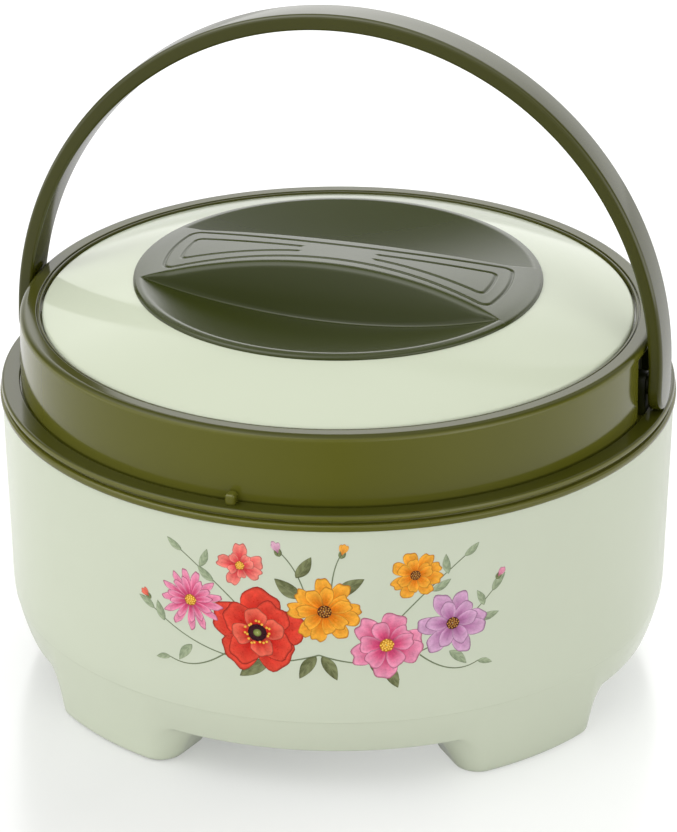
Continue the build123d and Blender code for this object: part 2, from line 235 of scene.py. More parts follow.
# ------------------------------------------------------------------ mesh helpers
def piece(name, verts, faces, mats, body, stands_for=None, sharp=34.0):
    """Object from millimetre coordinates in the shared frame, riding on a body."""
    me = bpy.data.meshes.new(name)
    me.from_pydata([(x * MM, y * MM, z * MM) for x, y, z in verts], [], faces)
    me.validate()
    bm = bmesh.new()
    bm.from_mesh(me)
    bmesh.ops.recalc_face_normals(bm, faces=bm.faces)
    bm.to_mesh(me)
    bm.free()
    me.update()
    for p in me.polygons:
        p.use_smooth = True
    me.set_sharp_from_angle(angle=math.radians(sharp))
    for mt in mats if isinstance(mats, (list, tuple)) else [mats]:
        me.materials.append(mt)
    ob = bpy.data.objects.new(name, me)
    scene_col.objects.link(ob)
    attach(ob, body)
    if stands_for:
        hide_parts(stands_for)
    return ob


scene_col = bpy.context.scene.collection


def arc3(p0, pm, p1, n):
    """n points after p0 on the circle through three points, ending at p1."""
    (x0, y0), (x1, y1), (x2, y2) = p0, pm, p1
    d = 2 * (x0 * (y1 - y2) + x1 * (y2 - y0) + x2 * (y0 - y1))
    if abs(d) < 1e-12:
        return [(x0 + (x2 - x0) * k / n, y0 + (y2 - y0) * k / n) for k in range(1, n + 1)]
    q0, q1, q2 = x0 * x0 + y0 * y0, x1 * x1 + y1 * y1, x2 * x2 + y2 * y2
    cx = (q0 * (y1 - y2) + q1 * (y2 - y0) + q2 * (y0 - y1)) / d
    cy = (q0 * (x2 - x1) + q1 * (x0 - x2) + q2 * (x1 - x0)) / d
    a0, a1, a2 = (math.atan2(y - cy, x - cx) for x, y in (p0, pm, p1))
    two = 2 * math.pi
    s01, s02 = (a1 - a0) % two, (a2 - a0) % two
    sweep = s02 if s01 <= s02 else s02 - two
    r = math.hypot(x0 - cx, y0 - cy)
    return [(cx + r * math.cos(a0 + sweep * k / n), cy + r * math.sin(a0 + sweep * k / n)) for k in range(1, n + 1)]


def outline(points, n=8, tight=0.22):
    """Closed (r, z) outline: (r, z) is a straight run, ((rm, zm), (r, z)) an arc, ("c", f, a, b, k) a curve z or r of a parameter."""
    pts = [points[0]]
    for q in points[1:]:
        if q[0] == "c":
            _, f, a, b, k = q
            pts += [f(a + (b - a) * i / k) for i in range(0 if math.dist(f(a), pts[-1]) > 1e-4 else 1, k + 1)]
        elif isinstance(q[0], tuple):
            pts += arc3(pts[-1], q[0], q[1], n)
        else:
            # supporting points keep the shading of a long flat run flat
            x0, y0 = pts[-1]
            ln = math.hypot(q[0] - x0, q[1] - y0)
            if ln > 1.2:
                for t in (tight / ln, 1 - tight / ln):
                    pts.append((x0 + (q[0] - x0) * t, y0 + (q[1] - y0) * t))
            pts.append(q)
    return pts


def lathe(points, seg=512, extra=(), move=None):
    """Surface of revolution of a closed outline; extra azimuths are added, move may shift a vertex."""
    az = sorted(set([round(2 * math.pi * k / seg, 7) for k in range(seg)] + [round(a % (2 * math.pi), 7) for a in extra]))
    na, npnt = len(az), len(points)
    verts, faces = [], []
    poles = {}
    for j, (r, z) in enumerate(points):
        if r < 1e-6:
            poles[j] = len(verts)
            verts.append((0.0, 0.0, z))
    index = {}
    for i, a in enumerate(az):
        for j, (r, z) in enumerate(points):
            if j in poles:
                index[i, j] = poles[j]
                continue
            if move:
                r2, z2 = move(a, r, z)
            else:
                r2, z2 = r, z
            index[i, j] = len(verts)
            verts.append((r2 * math.cos(a), r2 * math.sin(a), z2))
    for i in range(na):
        i2 = (i + 1) % na
        for j in range(npnt):
            j2 = (j + 1) % npnt
            if j in poles and j2 in poles:
                continue
            q = [index[i, j], index[i2, j], index[i2, j2], index[i, j2]]
            q2 = []
            for v in q:
                if v not in q2:
                    q2.append(v)
            faces.append(tuple(q2))
    return verts, faces


def dome(r):
    return 159.66 - (305.0 - math.sqrt(305.0 ** 2 - r * r))


def smooth(a, b, x):
    t = min(1.0, max(0.0, (x - a) / (b - a)))
    return t * t * (3 - 2 * t)


# upper shell: a long soft barrel that turns upright over the foot shell
BODY_Z = [30.35, 32.0, 34.0, 36.0, 40.0, 47.0, 62.0, 77.0, 92.0, 107.0]
BODY_R = [122.30, 122.52, 122.70, 122.81, 122.94, 123.10, 123.52, 123.96, 124.36, 124.70]


def pchip(xs, ys):
    """Monotone cubic through the points."""
    n = len(xs)
    h = [xs[i + 1] - xs[i] for i in range(n - 1)]
    d = [(ys[i + 1] - ys[i]) / h[i] for i in range(n - 1)]
    m = [d[0]] + [0.0 if d[i - 1] * d[i] <= 0 else 3 * (h[i - 1] + h[i]) / ((2 * h[i] + h[i - 1]) / d[i - 1] + (h[i] + 2 * h[i - 1]) / d[i]) for i in range(1, n - 1)] + [d[-1]]

    def f(x):
        i = 0
        while i < n - 2 and x > xs[i + 1]:
            i += 1
        t = (x - xs[i]) / h[i]
        return (ys[i] * (1 + 2 * t) * (1 - t) ** 2 + h[i] * m[i] * t * (1 - t) ** 2
                + ys[i + 1] * t * t * (3 - 2 * t) + h[i] * m[i + 1] * t * t * (t - 1))
    return f


body_r = pchip(BODY_Z, BODY_R)
v, f = lathe(outline([
    (121.95, 30.0),
    ((122.2, 30.09), (122.30, 30.35)),
    ("c", lambda z: (body_r(z), z), 30.35, 107.0, 60),
    (121.7, 107.0),
    (121.7, 109.4),
    (119.9, 109.4),
    (119.9, 104.0),
    (122.3, 99.0),
    ((121.4, 70.0), (120.4, 36.2)),
    (120.25, 36.2),
    (120.25, 30.0),
]))
piece("upper_shell", v, f, mat_mint, "base", "outer_body")

# lower shell: underside with four hollow feet whose outer faces run on from the wall
FLOOR_Z, BODY_TURN, FOOT_SPREAD = 16.4, math.radians(12.5), 43.0
FOOT_AT = [-math.pi / 2 + BODY_TURN + math.radians(q) for q in (-FOOT_SPREAD, FOOT_SPREAD, 180 - FOOT_SPREAD, 180 + FOOT_SPREAD)]
FOOT_HALF, FOOT_OUT, FOOT_IN = math.radians(15.3), 117.3, 86.0
shell_z = pchip([100.0, 117.3, 118.22, 118.62, 119.85, 121.1, 122.05], [FLOOR_Z, FLOOR_Z, FLOOR_Z + 0.4, FLOOR_Z + 1.3, FLOOR_Z + 4.9, 25.6, 30.0])


def soft_min(a, b, k):
    h = max(k - abs(a - b), 0.0) / k if k > 1e-9 else 0.0
    return min(a, b) - h * h * k * 0.25


def foot_rise(e, slope, R=2.4):
    """Height over the table at distance e outside the sole's outline, with a rounded lower edge."""
    th = math.atan(slope)
    t = R * math.tan(th / 2)
    if e <= -t:
        return 0.0
    if e + t <= R * math.sin(th):
        return R - math.sqrt(R * R - (e + t) ** 2)
    return R * (1 - math.cos(th)) + (e + t - R * math.sin(th)) * slope


def under_z(a, r):
    base = shell_z(r) if r > 100.0 else FLOOR_Z
    if r < 76.0:
        return base
    da = min(abs((a - q + math.pi) % (2 * math.pi) - math.pi) for q in FOOT_AT)
    fa = r * (da - FOOT_HALF)
    if fa > 22.0:
        return base
    fo, inner = (r - FOOT_OUT, False) if r > 101.5 else (FOOT_IN - r, True)
    s_side = 6.36 if not inner else 9.0
    A, B = fa + 9.0, fo + 9.0
    e = min(max(A, B), 0.0) + math.hypot(max(A, 0.0), max(B, 0.0)) - 9.0
    wa, wb = max(A, 0.0) ** 2, max(B, 0.0) ** 2
    w = wb / (wa + wb) if wa + wb > 0 else 0.0
    rise = foot_rise(e, 1.95 + (s_side - 1.95) * w)
    k = 10.0 * min(1.0, max(0.0, (122.05 - r) / 3.0)) if not inner else 4.0
    return soft_min(base, rise, k)


def build_base():
    na = 840
    az = [2 * math.pi * k / na for k in range(na)]
    rr = [9.2, 30.0, 55.0, 72.0, 78.0, 80.0, 82.0, 83.0, 83.8, 84.4, 84.8, 85.2, 85.5, 85.8, 86.1, 86.4, 86.8, 87.4, 88.2, 89.5, 92.0, 95.0, 98.0, 101.4]
    rr += [104.0 + 0.9 * k for k in range(11)] + [113.5 + 0.22 * k for k in range(38)] + [121.8, 121.95, 122.05]
    grid = [[(r, under_z(a, r)) for r in rr] for a in az]
    up = []
    for col in grid:
        inner = [(120.15, 30.0), (120.15, 36.0), (117.9, 36.0), (117.9, FLOOR_Z + 8.0)]
        for r, z in col[::-1]:
            if r > 113.9:
                continue
            inner.append((r, min(z + 2.6, FLOOR_Z + 2.2)))
        up.append(col + inner)
    n = len(up[0])
    verts = [(r * math.cos(a), r * math.sin(a), z) for a, col in zip(az, up) for r, z in col]
    faces = []
    for i in range(na):
        i2 = (i + 1) % na
        for j in range(n):
            j2 = (j + 1) % n
            faces.append((i * n + j, i2 * n + j, i2 * n + j2, i * n + j2))
    return verts, faces


v, f = build_base()
piece("foot_shell", v, f, mat_mint, "base", "base_shell")

# collar: broad flat flange round a shallow seat for the lid, rounded bead, deep groove and lower lip
v, f = lathe(outline([
    (101.3, 109.4),
    (121.9, 109.4),
    (121.9, 107.05),
    (125.0, 107.05),
    ((125.38, 107.6), (125.5, 108.4)),
    ((125.35, 109.2), (124.85, 109.62)),
    (124.2, 109.8),
    ((123.45, 110.3), (124.15, 110.8)),
    (124.55, 110.9),
    ((124.97, 111.5), (124.9, 112.25)),
    ((124.55, 112.95), (123.75, 113.2)),
    (118.6, 113.2),
    ((118.25, 113.1), (118.15, 112.8)),
    (118.15, 112.0),
    (101.3, 112.0),
], n=10))
piece("collar_bead_ring", v, f, mat_olive, "base", "collar_ring")


def ear(side):
    """Ear with a rounded head on the flange, and the pivot stud that runs in the handle's end."""
    out = [(-5.2, 111.4), (-5.2, 122.2)]
    out += [(-5.2 * math.cos(a), 122.2 + 5.2 * math.sin(a)) for a in [math.pi * k / 24 for k in range(1, 24)]]
    out += [(5.2, 122.2), (5.2, 111.4)]
    verts, faces = [], []
    rings = [(113.6, 0.0), (117.4, 0.0), (117.7, 0.12), (117.8, 0.4)]
    n = len(out)
    for x, ins in rings:
        for y, z in out:
            k = (5.2 - ins) / 5.2
            verts.append((x, y * k, 122.2 + (z - 122.2) * (k if z > 122.2 else 1.0)))
    for a in range(len(rings) - 1):
        for i in range(n):
            j = (i + 1) % n
            faces.append((a * n + i, a * n + j, (a + 1) * n + j, (a + 1) * n + i))
    faces.append(tuple(range(n))[::-1])
    faces.append(tuple(range((len(rings) - 1) * n, len(rings) * n)))
    base = len(verts)
    prof = [(117.2, 0.0), (117.2, 3.5), (121.25, 3.5), (121.6, 3.4), (121.8, 3.1), (121.8, 0.0)]
    m = 40
    for x, r in prof:
        if r == 0.0:
            verts.append((x, 0.0, 122.2))
        else:
            verts += [(x, r * math.cos(2 * math.pi * k / m), 122.2 + r * math.sin(2 * math.pi * k / m)) for k in range(m)]
    c0, first = base, base + 1
    for k in range(m):
        k2 = (k + 1) % m
        faces.append((c0, first + k2, first + k))
        for q in range(3):
            o1, o2 = first + q * m, first + (q + 1) * m
            faces.append((o1 + k, o1 + k2, o2 + k2, o2 + k))
        o = first + 3 * m
        faces.append((o + k, o + k2, first + 4 * m))
    if side < 0:
        verts = [(-x, -y, z) for x, y, z in verts]
    return verts, faces


# the ears take the near-black olive, painted shade for the pockets' shadow
for side, nm in ((1, "right_ear"), (-1, "left_ear")):
    v, f = ear(side)
    piece(nm, v, f, mat_pocket_shade, "base", None)


def rounded_block(cx, cy, cz, hx, hy, hz, rad, turn, n=7):
    """Block with all its edges rounded, turned about the main axis."""
    verts, faces, seen = [], [], {}

    def vert(p):
        key = tuple(round(c, 5) for c in p)
        if key in seen:
            return seen[key]
        h = (hx, hy, hz)
        q = [c * hh for c, hh in zip(p, h)]
        inner = [max(-(hh - rad), min(hh - rad, c)) for c, hh in zip(q, h)]
        d = [a - b for a, b in zip(q, inner)]
        ln = math.sqrt(sum(c * c for c in d)) or 1.0
        w = [i + c / ln * rad for i, c in zip(inner, d)]
        x, y, z = cx + w[0], cy + w[1], cz + w[2]
        c, s = math.cos(turn), math.sin(turn)
        verts.append((x * c - y * s, x * s + y * c, z))
        seen[key] = len(verts) - 1
        return seen[key]
    # parameter spacing is tight near the edges, where the rounding is
    t = [-1 + 2 * k / (2 * n) for k in range(2 * n + 1)]
    t = [math.copysign(abs(c) ** 0.6, c) for c in t]
    for ax in range(3):
        for sg in (-1, 1):
            for i in range(2 * n):
                for j in range(2 * n):
                    quad = []
                    for a, b in ((t[i], t[j]), (t[i + 1], t[j]), (t[i + 1], t[j + 1]), (t[i], t[j + 1])):
                        p = [0, 0, 0]
                        p[ax] = sg
                        p[(ax + 1) % 3] = a
                        p[(ax + 2) % 3] = b
                        quad.append(vert(p))
                    faces.append(tuple(quad if sg > 0 else quad[::-1]))
    return verts, faces


v, f = rounded_block(0.0, -120.1, 113.9, 1.8, 2.2, 3.3, 1.0, math.radians(-1.1))
piece("locating_nub", v, f, mat_olive, "base", None)

# lid skirt: tall plain wall, flat rim, seat for the panel; a pocket at each side gives room to the ears
POCKET = 12.1               # half width of a pocket
POCKET_TOP = 136.9


def pocket(a, r, z):
    y = 116.5 * abs(math.sin(a)) if abs(math.cos(a)) > 0.9 else 99.0
    if y < POCKET and z < POCKET_TOP + 0.01:
        w = 1.0 - smooth(POCKET - 1.0, POCKET, y) ** 2
        if r > 116.3:
            return r - (r - 113.2) * w, z
        if r > 114.0 and z < 134.0:
            return r - (r - 111.3) * w, z
    return r, z


near = []
for c in (0.0, math.pi):
    for y in (12.14, 12.1, 12.06, 12.0, 11.9, 11.75, 11.6, 11.45, 11.3, 11.2, 11.1, 11.0, 10.6, 9.8):
        for q in (1, -1):
            near.append(c + q * math.asin(y / 116.5))
v, f = lathe(outline([
    (115.4, 112.1),
    (117.4, 112.1),
    ((117.61, 112.19), (117.7, 112.4)),
    (117.487, 136.7),
    (117.486, 136.9),
    (117.485, 137.05),
    (117.48, 137.6),
    ((116.75, 139.28), (115.05, 140.0)),
    (111.7, 140.0),
    ((111.42, 139.88), (111.3, 139.6)),
    (111.3, 139.1),
    (110.95, 139.1),
    (110.95, 139.5),
    ((110.86, 139.7), (110.62, 139.75)),
    ((110.22, 139.7), (110.0, 139.4)),
    (110.0, 136.8),
    (105.5, 136.6),
    (105.5, 134.6),
    (112.8, 134.6),
    (115.25, 132.0),
    (115.4, 116.8),
    (104.0, 116.8),
    (104.0, 114.8),
    (115.4, 114.8),
], n=10), extra=near, move=pocket)
skirt = piece("lid_skirt", v, f, [mat_olive, mat_pocket_shade], "lid", "lid_skirt_ring")
# pocket faces take the near-black olive, painted shade for the shadow inside the pockets
for poly in skirt.data.polygons:
    c = poly.center / MM
    if abs(c.y) < POCKET - 0.15 and c.z < POCKET_TOP + 0.1 and abs(c.x) < 116.2 and math.hypot(c.x, c.y) > 110.0:
        poly.material_index = 1

# pale domed panel
v, f = lathe(outline([
    (72.4, dome(72.4) - 2.2),
    ("c", lambda r: (r, dome(r) - 2.2), 72.4, 107.1, 16),
    (107.1, 136.7),
    (109.3, 136.7),
    (109.3, dome(109.3) - 1.0),
    ((108.98, dome(109.3) - 0.25), (108.2, dome(108.2))),
    ("c", lambda r: (r, dome(r)), 108.2, 72.4, 40),
], n=10))
piece("lid_dome_panel", v, f, mat_panel, "lid", "lid_top_panel")


# ------------------------------------------------------------- bail handle
PIVOT_Z, LEAN, PLAY = 122.2, math.radians(4.5), 0.5
STRAP_R_OUT, STRAP_R_IN, END_R = 1.6, 1.2, 8.6   # edge roundings, radius of the round ends


def strap_stations():
    """Outer and inner point and half width along the arch, from the +X leg to the -X leg."""
    out = [((124.2, z), (119.0, z)) for z in (122.2, 123.6, 125.1)]
    for k in range(0, 261):
        a = math.pi * k / 260
        out.append(((124.2 * math.cos(a), 126.8 + 124.2 * math.sin(a)), (119.0 * math.cos(a), 125.8 + 119.0 * math.sin(a))))
    out += [((-124.2, z), (-119.0, z)) for z in (125.1, 123.6, 122.2)]
    return [(o, i, 8.6 - 0.8 * ((o[1] + i[1]) / 2 - 122.2) / 129.8) for o, i in out]


def build_strap():
    st = strap_stations()
    M, K = len(st), 20
    verts, faces = [], []

    def add(x, y, z):
        x, dz = x + PLAY, z - PIVOT_Z
        verts.append((x, y * math.cos(LEAN) + dz * math.sin(LEAN), PIVOT_Z - y * math.sin(LEAN) + dz * math.cos(LEAN)))
        return len(verts) - 1

    def at(o, i, depth, outer):
        ln = math.dist(o, i)
        k = depth / ln
        a, b = (o, i) if outer else (i, o)
        return a[0] + (b[0] - a[0]) * k, a[1] + (b[1] - a[1]) * k

    def ring(d, depth, outer):
        loop = []
        for o, i, h in st:
            x, z = at(o, i, depth, outer)
            loop.append(add(x, -(h - d), z))
        x, z = at(st[-1][0], st[-1][1], depth, outer)
        for k in range(1, K):
            a = -math.pi / 2 - math.pi * k / K
            loop.append(add(x, (END_R - d) * math.sin(a), PIVOT_Z - (END_R - d) * abs(math.cos(a))))
        for o, i, h in st[::-1]:
            x, z = at(o, i, depth, outer)
            loop.append(add(x, h - d, z))
        x, z = at(st[0][0], st[0][1], depth, outer)
        for k in range(1, K):
            a = math.pi / 2 - math.pi * k / K
            loop.append(add(x, (END_R - d) * math.sin(a), PIVOT_Z - (END_R - d) * abs(math.cos(a))))
        return loop
    rings = []
    for R, outer in ((STRAP_R_OUT, True), (STRAP_R_IN, False)):
        part = [ring(R * (1 - math.sin(a)), R * (1 - math.cos(a)), outer) for a in [math.pi / 2 * k / 9 for k in range(10)]]
        rings += part if outer else part[::-1]
    N = len(rings[0])
    for a, b in zip(rings, rings[1:]):
        for i in range(N):
            i2 = (i + 1) % N
            faces.append((a[i], b[i], b[i2], a[i2]))
    left = lambda loop, i: loop[i]
    right = lambda loop, i: loop[2 * M + K - 2 - i]
    # outer face
    L = rings[0]
    for i in range(M - 1):
        faces.append((left(L, i), left(L, i + 1), right(L, i + 1), right(L, i)))
    faces.append(tuple(L[M - 1:M + K]))
    faces.append(tuple(L[2 * M + K - 2:] + [L[0]]))
    # inner face, with a blind bore for the stud in each end
    L = rings[-1]
    B = 8
    for i in range(B, M - 1 - B):
        faces.append((left(L, i), right(L, i), right(L, i + 1), left(L, i + 1)))
    for side in (1, -1):
        if side > 0:
            rim = [left(L, i) for i in range(B, -1, -1)] + L[2 * M + K - 1:][::-1] + [right(L, i) for i in range(0, B + 1)]
        else:
            rim = [left(L, i) for i in range(M - 1 - B, M)] + L[M:M + K - 1] + [right(L, i) for i in range(M - 1, M - 2 - B, -1)]
        cy, cz = 0.0, PIVOT_Z
        hole, deep = [], []
        for v_ in rim:
            x, y, z = verts[v_]
            dy, dz = y, z - PIVOT_Z
            y0, z0 = dy * math.cos(LEAN) - dz * math.sin(LEAN), dy * math.sin(LEAN) + dz * math.cos(LEAN)
            k = 3.55 / math.hypot(y0, z0)
            hole.append(add(side * 119.0, y0 * k, PIVOT_Z + z0 * k))
            deep.append(add(side * 122.3, y0 * k, PIVOT_Z + z0 * k))
        n = len(rim)
        for i in range(n):
            i2 = (i + 1) % n
            faces.append((rim[i], rim[i2], hole[i2], hole[i]))
            faces.append((hole[i], hole[i2], deep[i2], deep[i]))
        faces.append(tuple(deep))
    return verts, faces


v, f = build_strap()
piece("bail_strap", v, f, mat_strap, "bail", "bail_handle", sharp=50.0)

# ------------------------------------------------------------- grip insert (lid)
EDGE_R = 3.0            # rounding of the grip bar's long edges
DRAFT = math.radians(76.4)
WELL_R = 71.0


def bar_half(x):
    return 12.4 + 0.0027 * x * x


def top_z(r):
    return dome(r) + 0.7 + 0.55 * smooth(60.0, 72.0, r)


def dish_z(r):
    return 139.0 + 207.7 - math.sqrt(207.7 ** 2 - r * r)


def smin(a, b, k):
    h = max(k - abs(a - b), 0.0) / k if k > 1e-9 else 0.0
    return min(a, b) - h * h * k * 0.25


def smax(a, b, k):
    return -smin(-a, -b, k)


def corner(a, b, R):
    """Signed distance to the meeting of two half planes with a rounded corner."""
    a, b = a + R, b + R
    return min(max(a, b), 0.0) + math.hypot(max(a, 0.0), max(b, 0.0)) - R


def dip(d, half, depth):
    return depth * (0.5 + 0.5 * math.cos(math.pi * d / half)) if abs(d) < half else 0.0


def grooves(x, y, r):
    ax, ay = abs(x), abs(y)
    d1 = corner((ay - (6.7 + 0.0031 * x * x)) / math.sqrt(1 + (0.0062 * x) ** 2), r - 64.3, 4.0)
    g = dip(d1, 0.95, 0.55)
    if ax > 12.5:
        d2 = corner((ay - (1.7 + 0.0025 * x * x)) / math.sqrt(1 + (0.005 * x) ** 2), r - 58.6, 2.6)
        g = max(g, dip(d2, 0.9, 0.55) * smooth(13.0, 16.5, ax))
    return g


def insert_z(x, y):
    r = math.hypot(x, y)
    T = top_z(r)
    well = smin(dish_z(r), T, 0.55)
    n = (abs(y) - bar_half(x) - 0.2) / math.sqrt(1 + (0.0054 * x) ** 2)
    gap = max(T - dish_z(r), 0.05)
    R = min(EDGE_R, 0.55 * gap + 0.25)
    t = R * math.tan(DRAFT / 2)
    if n <= -t:
        drop = 0.0
    elif n + t <= R * math.sin(DRAFT):
        drop = R - math.sqrt(R * R - (n + t) ** 2)
    else:
        drop = R * (1 - math.cos(DRAFT)) + (n + t - R * math.sin(DRAFT)) * math.tan(DRAFT)
    bar = T - drop - (grooves(x, y, r) if drop == 0.0 and r < 68 else 0.0)
    return smax(bar, well, min(1.8, 0.35 * gap))


def build_insert():
    nx = 300
    xt = 66.62
    # a little closer together towards the tips, where the wells run out
    xs = [xt * math.sin(math.pi / 2 * (-1 + 2 * i / nx) * 0.9) / math.sin(math.pi / 2 * 0.9) for i in range(nx + 1)]
    nb, nd = 120, 26

    def column(x):
        Y = math.sqrt(WELL_R ** 2 - x * x)
        w = min(bar_half(x) + 0.2, Y)
        R = EDGE_R
        t = R * math.tan(DRAFT / 2)
        room = Y - w
        flat = w - min(t, 0.45 * w)
        depth = max(0.3, top_z(math.hypot(x, w)) - dish_z(math.hypot(x, w)))
        foot = min(depth / math.tan(DRAFT), 0.5 * room)
        pos = []
        for k in range(1, 9):                                    # rounding
            a = DRAFT * k / 8
            pos.append(flat + (w - flat) / t * R * math.sin(a) if t else w)
        e0 = pos[-1]
        if e0 > w + 0.8 * room:
            pos = [flat + (w + 0.3 * room - flat) * k / 8 for k in range(1, 9)]
            e0 = pos[-1]
        w1 = min(w + foot, Y - 0.3 * room)
        for k in range(1, 5):                                    # wall
            pos.append(e0 + (w1 - 0.5 * min(1.0, room * 0.1) - e0) * k / 4)
        e1 = pos[-1]
        fil = min(2.2, 0.25 * room)
        for k in range(1, 9):                                    # concave fillet at its foot
            pos.append(e1 + fil * k / 8)
        e2 = pos[-1]
        for k in range(1, nd + 1):                               # dish, closer together at the lip
            u = k / nd
            pos.append(e2 + (Y - e2) * (1 - (1 - u) ** 1.6))
        pos[-1] = Y
        mid = [-flat + 2 * flat * k / nb for k in range(nb + 1)]
        return [-p for p in pos[::-1]] + mid + pos
    cols = [column(x) for x in xs]
    K = len(cols[0])
    verts, faces, top = [], [], []

    def add(x, y, z):
        verts.append((x, y, z))
        return len(verts) - 1
    A = [[add(x, y, insert_z(x, y)) for y in ys] for x, ys in zip(xs, cols)]
    for i in range(nx):
        for j in range(K - 1):
            faces.append((A[i][j], A[i + 1][j], A[i + 1][j + 1], A[i][j + 1]))
    # the two ends between the last column and the circle
    ends = {}
    ne = 10
    for sg, i in ((1, nx), (-1, 0)):
        rows = [A[i]]
        for k in range(1, ne + 1):
            row = []
            for j, y in enumerate(cols[i]):
                if j in (0, K - 1):
                    row.append(A[i][j])
                    continue
                xe = math.sqrt(WELL_R ** 2 - y * y)
                x = xt + (xe - xt) * k / ne
                row.append(add(sg * x, y, insert_z(x, y)))
            rows.append(row)
        for k in range(ne):
            for j in range(K - 1):
                q = (rows[k][j], rows[k + 1][j], rows[k + 1][j + 1], rows[k][j + 1])
                q = q if sg > 0 else q[::-1]
                u = []
                for v_ in q:
                    if v_ not in u:
                        u.append(v_)
                if len(u) > 2:
                    faces.append(tuple(u))
        ends[sg] = rows[-1]
    # boundary loop, counter-clockwise seen from above
    loop = [A[i][0] for i in range(nx + 1)]
    loop += ends[1][1:K - 1]
    loop += [A[i][K - 1] for i in range(nx, -1, -1)]
    loop += ends[-1][1:K - 1][::-1]
    dirs = []
    for v_ in loop:
        x, y, _ = verts[v_]
        r = math.hypot(x, y)
        dirs.append((x / r, y / r))
    rings = [(r, None) for r in (71.3, 71.6, 71.9, 72.2, 72.5, 72.8, 73.1, 73.4, 73.7, 74.0, 74.25)]
    zc = top_z(74.44) - 1.358
    for k in range(0, 11):
        a = math.radians(14 + 76 * k / 10)
        rings.append((74.1 + 1.4 * math.sin(a), zc + 1.4 * math.cos(a)))
    rings += [(75.5, dome(75.5) + 0.02), (75.3, dome(75.5) - 0.02), (72.3, dome(72.3) + 0.02), (72.3, dome(72.3) - 4.4), (70.6, dome(70.6) - 4.6)]
    rings += [(r, dish_z(r) - 2.2) for r in (69.0, 60.0, 50.0, 40.0, 30.0, 20.0, 10.0)]
    prev = loop
    m = len(loop)
    for r, z in rings:
        cur = []
        for cx, cy in dirs:
            x, y = cx * r, cy * r
            cur.append(add(x, y, insert_z(x, y) if z is None else z))
        for k in range(m):
            k2 = (k + 1) % m
            faces.append((prev[k], cur[k], cur[k2], prev[k2]))
        prev = cur
    c = add(0.0, 0.0, dish_z(0.0) - 2.2)
    for k in range(m):
        faces.append((prev[k], c, prev[(k + 1) % m]))
    return verts, faces


v, f = build_insert()
piece("lid_grip", v, f, mat_insert, "lid", "lid_grip_insert", sharp=60.0)

# ------------------------------------------------------- printed spray on the front
# A generic garden spray of plain garden flowers, drawn here as thin ink patches on the upper shell.
PRINT_AT = math.radians(-90.0 + 13.8)
PRINT_Z = 71.5


def rgb(r, g, b):
    return lin(r, g, b)[:3]


def blend3(a, b, t):
    t = min(1.0, max(0.0, t))
    return tuple(x + (y - x) * t for x, y in zip(a, b))


class Ink:
    """Collects printed patches given in millimetres along and up the shell, each closed, and proud by h."""

    def __init__(self):
        self.v, self.f, self.c = [], [], []

    def grid(self, pts, cols, h):
        n, m = len(pts), len(pts[0])
        first = len(self.v)
        for lift in (h, -0.25):
            for row, crow in zip(pts, cols):
                for (u, w), c in zip(row, crow):
                    z = PRINT_Z + w
                    r = body_r(z) + lift
                    a = PRINT_AT + u / 124.0
                    self.v.append((r * math.cos(a), r * math.sin(a), z))
                    self.c.append(c)
        (u0, w0), (u1, w1), (u2, w2) = pts[0][m // 3], pts[n - 1][m // 3], pts[n - 1][m // 3 + 1]
        flip = (u1 - u0) * (w2 - w0) - (u2 - u0) * (w1 - w0) < 0
        top = lambda i, j: first + i * m + j
        low = lambda i, j: first + n * m + i * m + j
        out = []
        for i in range(n - 1):
            for j in range(m - 1):
                out.append((top(i, j), top(i + 1, j), top(i + 1, j + 1), top(i, j + 1)))
                out.append((low(i, j), low(i, j + 1), low(i + 1, j + 1), low(i + 1, j)))
        ring = [(i, 0) for i in range(n)] + [(n - 1, j) for j in range(1, m)] + [(i, m - 1) for i in range(n - 2, -1, -1)] + [(0, j) for j in range(m - 2, 0, -1)]
        for k in range(len(ring)):
            a, b = ring[k], ring[(k + 1) % len(ring)]
            out.append((top(*a), low(*a), low(*b), top(*b)))
        self.f += [q[::-1] for q in out] if flip else out


RINGS = (0.06, 0.2, 0.35, 0.5, 0.64, 0.77, 0.87, 0.93, 0.965, 1.0)


